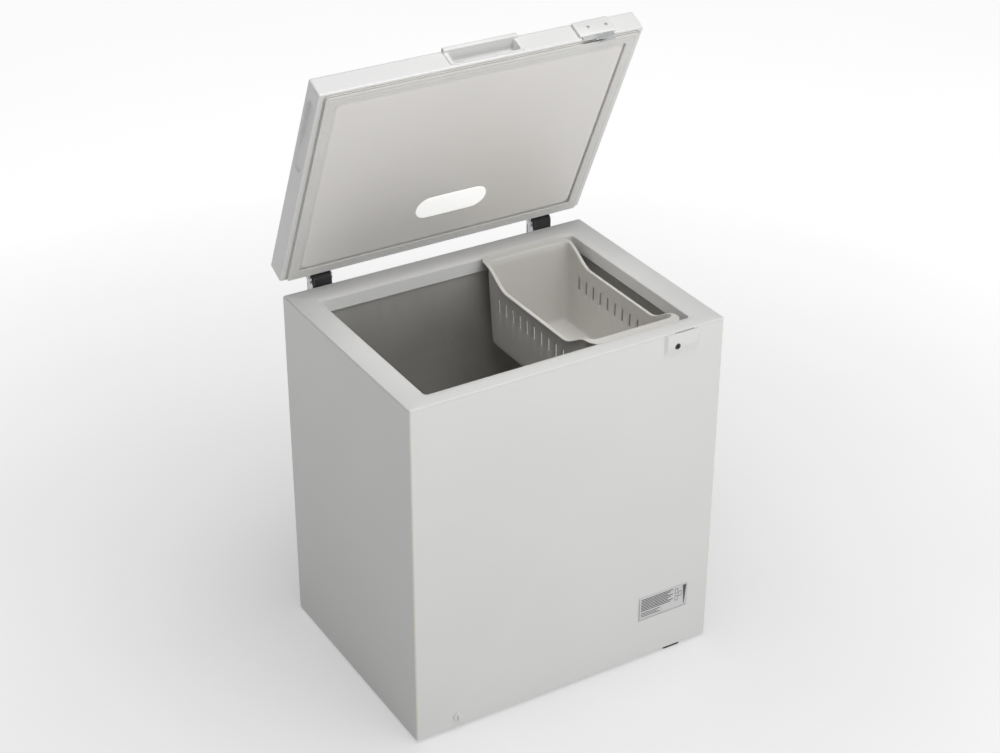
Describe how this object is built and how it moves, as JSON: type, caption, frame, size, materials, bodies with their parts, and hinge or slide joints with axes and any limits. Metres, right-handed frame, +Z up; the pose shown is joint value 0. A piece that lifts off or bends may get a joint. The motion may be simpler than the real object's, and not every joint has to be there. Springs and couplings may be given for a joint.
{
  "type": "chest freezer",
  "caption": "White chest freezer with a hinged insulated lid, hanging slotted basket, key lock, lid lamp, drain plugs and a rear compressor bay.",
  "frame": {"origin": "On the floor under the middle of the freezer as it stands with its lid open, at the centre of the footprint box.", "axes": "+Z up; +X to the right as seen from the front; front faces -Y, hinges and compressor towards +Y."},
  "size_m": [0.73, 0.6014, 1.3408],
  "materials": {
    "paint": "gloss",
    "white_plastic": "satin",
    "basket_plastic": "satin",
    "panel_plastic": "satin",
    "seal": "matte",
    "aluminium": "satin",
    "foam": "matte",
    "steel": "satin",
    "chrome": "polished",
    "black_plastic": "satin",
    "black_paint": "gloss",
    "rubber": "matte",
    "copper": "satin",
    "lens": "satin",
    "board": "satin",
    "label": "satin"
  },
  "bodies": {
    "cabinet": {"outer_shell": "paint", "rim_frame": "white_plastic", "lock_panel": "white_plastic", "drain_elbow": "white_plastic", "thermostat_body": "white_plastic", "inner_liner": "aluminium", "cabinet_foam": "foam", "back_panel": "steel", "base_pan": "steel", "compressor_tray": "steel", "bay_wall": "steel", "hinge_base_left": "steel", "hinge_base_right": "steel", "hinge_spring_left": "steel", "hinge_spring_right": "steel", "start_relay": "black_plastic", "rear_grille": "black_plastic", "mains_gland": "black_plastic", "hinge_block_left": "black_plastic", "hinge_block_right": "black_plastic", "compressor": "black_paint", "foot_front_left": "rubber", "foot_front_right": "rubber", "foot_back_left": "rubber", "foot_back_right": "rubber", "grommet_front_left": "rubber", "grommet_front_right": "rubber", "grommet_back_left": "rubber", "grommet_back_right": "rubber", "evaporator_coil": "copper", "condenser_coil": "copper", "filter_drier": "copper", "suction_tube": "copper", "discharge_tube": "copper", "data_label": "label"},
    "lid": {"lid_cover": "paint", "lid_foam": "foam", "lid_inner_panel": "panel_plastic", "lid_gasket": "seal", "lamp_lens": "lens", "lamp_tray": "white_plastic", "lamp_board": "board", "lid_handle": "white_plastic", "latch_cover": "white_plastic", "latch_striker": "chrome", "latch_screw_1": "steel", "latch_screw_2": "steel", "lid_corner_screw": "steel", "hinge_pin_left": "steel", "hinge_pin_right": "steel", "hinge_leaf_left": "steel", "hinge_leaf_right": "steel"},
    "lock": {"lock_barrel": "black_plastic", "lock_lever": "steel"},
    "basket": {"basket": "basket_plastic"},
    "thermostat_knob": {"thermostat_knob": "white_plastic"},
    "inner_drain_plug": {"inner_drain_plug": "white_plastic"},
    "outer_drain_plug": {"outer_drain_plug": "white_plastic"},
    "plunger_left": {"hinge_plunger_left": "white_plastic"},
    "plunger_right": {"hinge_plunger_right": "white_plastic"}
  },
  "joints": [
    {"name": "lid_hinge", "type": "hinge", "parent": "cabinet", "child": "lid", "pos_m": [0, 0.26755, 0.8068], "axis": [-1, 0, 0], "range_deg": [-65, 15]},
    {"name": "plunger_travel_left", "type": "slide", "parent": "cabinet", "child": "plunger_left", "axis": [0, 0, 1], "range_m": [-0.0046, 0.0011], "deforming": ["hinge_spring_left"]},
    {"name": "plunger_travel_right", "type": "slide", "parent": "cabinet", "child": "plunger_right", "axis": [0, 0, 1], "range_m": [-0.0046, 0.0011], "deforming": ["hinge_spring_right"]},
    {"name": "lock_turn", "type": "hinge", "parent": "cabinet", "child": "lock", "pos_m": [0.246, -0.29505, 0.767], "axis": [0, 1, 0], "range_deg": [0, 90]},
    {"name": "thermostat_turn", "type": "hinge", "parent": "cabinet", "child": "thermostat_knob", "pos_m": [0.3202, 0.2586, 0.2048], "axis": [0, 1, 0], "range_deg": [0, 270]},
    {"name": "basket_lift", "type": "slide", "parent": "cabinet", "child": "basket", "axis": [0, 0, 1], "range_m": [0, 0.13]},
    {"name": "inner_plug_pull", "type": "slide", "parent": "cabinet", "child": "inner_drain_plug", "axis": [0, 0, 1], "range_m": [0, 0.06]},
    {"name": "outer_plug_pull", "type": "slide", "parent": "cabinet", "child": "outer_drain_plug", "axis": [0, -1, 0], "range_m": [0, 0.04]}
  ],
  "couplings": [
    {"joint": "plunger_travel_left", "follows": "lid_hinge", "m_per_rad": 0.0039666},
    {"joint": "plunger_travel_right", "follows": "lid_hinge", "m_per_rad": 0.0039666}
  ]
}
